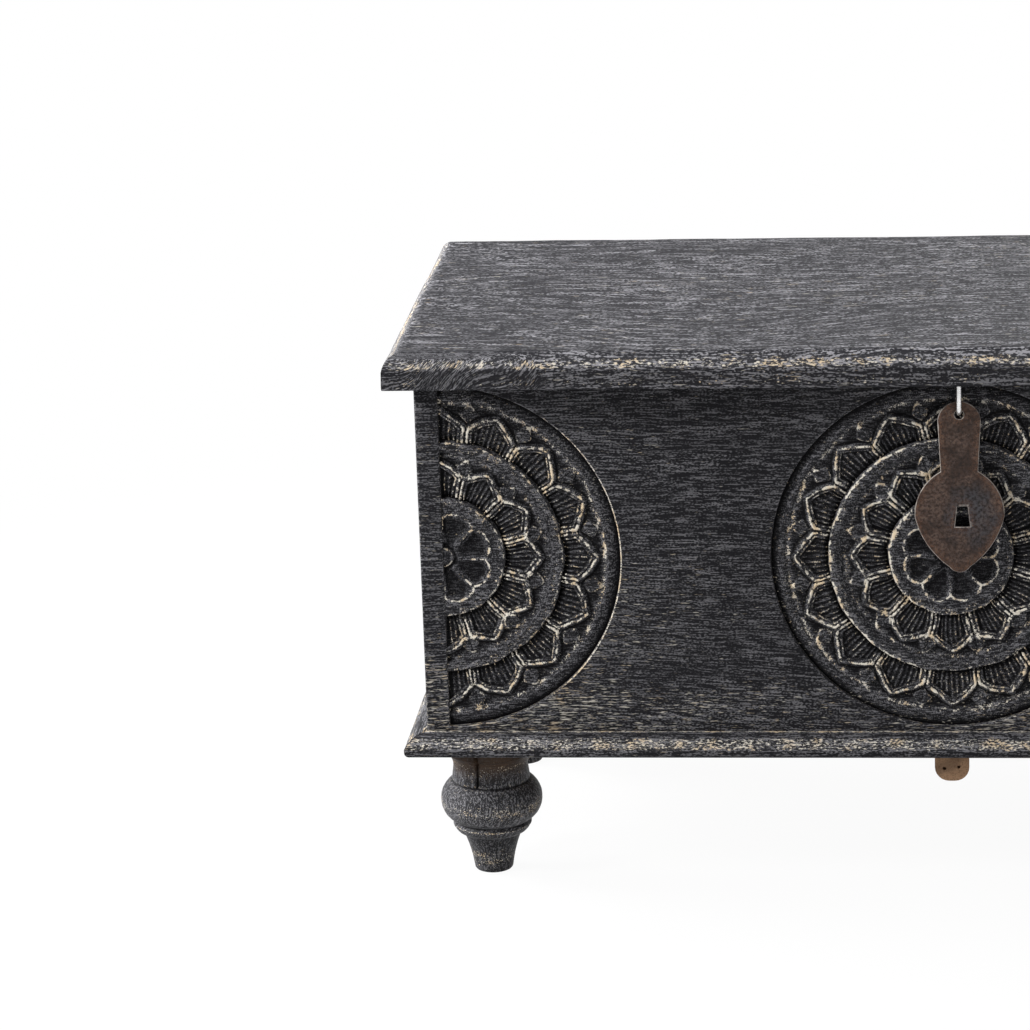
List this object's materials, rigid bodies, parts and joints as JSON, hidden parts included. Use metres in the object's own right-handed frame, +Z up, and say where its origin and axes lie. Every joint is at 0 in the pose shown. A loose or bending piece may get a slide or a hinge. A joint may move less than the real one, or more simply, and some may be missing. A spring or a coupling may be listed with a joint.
{
  "type": "storage chest",
  "caption": "Low dark wooden chest with a rosette-carved front, overhanging hinged lid, hanging iron hasp, bail handles on the ends and turned feet.",
  "frame": {"origin": "on the floor, under the middle of the lid", "axes": "+X along the front to the right, +Y from front to back, +Z up"},
  "size_m": [1, 0.465, 0.514],
  "materials": {
    "black_wood": "dark stain, worn at the edges",
    "raw_wood": "bare",
    "aged_iron": "rusted",
    "bright_wire": "bright drawn wire"
  },
  "bodies": {
    "carcass": {"front_board": "black_wood", "back_board": "black_wood", "left_end_board": "black_wood", "right_end_board": "black_wood", "front_base_moulding": "black_wood", "left_base_moulding": "black_wood", "right_base_moulding": "black_wood", "front_left_foot": "black_wood", "front_right_foot": "black_wood", "back_left_foot": "black_wood", "back_right_foot": "black_wood", "hinge_rail": "black_wood", "front_floor_plank": "raw_wood", "middle_floor_plank": "raw_wood", "back_floor_plank": "raw_wood", "floor_batten": "raw_wood", "left_hinge_rail_leaf": "aged_iron", "right_hinge_rail_leaf": "aged_iron", "left_hinge_pin": "aged_iron", "right_hinge_pin": "aged_iron", "rail_screws": "aged_iron", "rail_leaf_screws": "aged_iron", "floor_nails": "aged_iron", "floor_batten_nails": "aged_iron", "left_handle_staples": "bright_wire", "right_handle_staples": "bright_wire"},
    "lid": {"lid_front_plank": "black_wood", "lid_middle_plank": "black_wood", "lid_back_plank": "black_wood", "left_lid_cleat": "raw_wood", "right_lid_cleat": "raw_wood", "lid_cleat_screws": "aged_iron", "left_hinge_lid_leaf": "aged_iron", "right_hinge_lid_leaf": "aged_iron", "lid_leaf_screws": "aged_iron", "hasp_staple": "bright_wire"},
    "hasp": {"hasp_plate": "aged_iron"},
    "left_handle": {"left_handle_bail": "aged_iron"},
    "right_handle": {"right_handle_bail": "aged_iron"}
  },
  "joints": [
    {"name": "lid_hinge", "type": "hinge", "parent": "carcass", "child": "lid", "pos_m": [0, 0.227, 0.4795], "axis": [-1, 0, 0], "range_deg": [0, 97]},
    {"name": "hasp_swing", "type": "hinge", "parent": "lid", "child": "hasp", "pos_m": [0.008, -0.2076, 0.458], "axis": [-1, 0, 0], "range_deg": [0, 90]},
    {"name": "left_handle_swing", "type": "hinge", "parent": "carcass", "child": "left_handle", "pos_m": [-0.4855, 0.0025, 0.32], "axis": [0, 1, 0], "range_deg": [0, 165]},
    {"name": "right_handle_swing", "type": "hinge", "parent": "carcass", "child": "right_handle", "pos_m": [0.4855, 0.0025, 0.32], "axis": [0, -1, 0], "range_deg": [0, 165]}
  ]
}
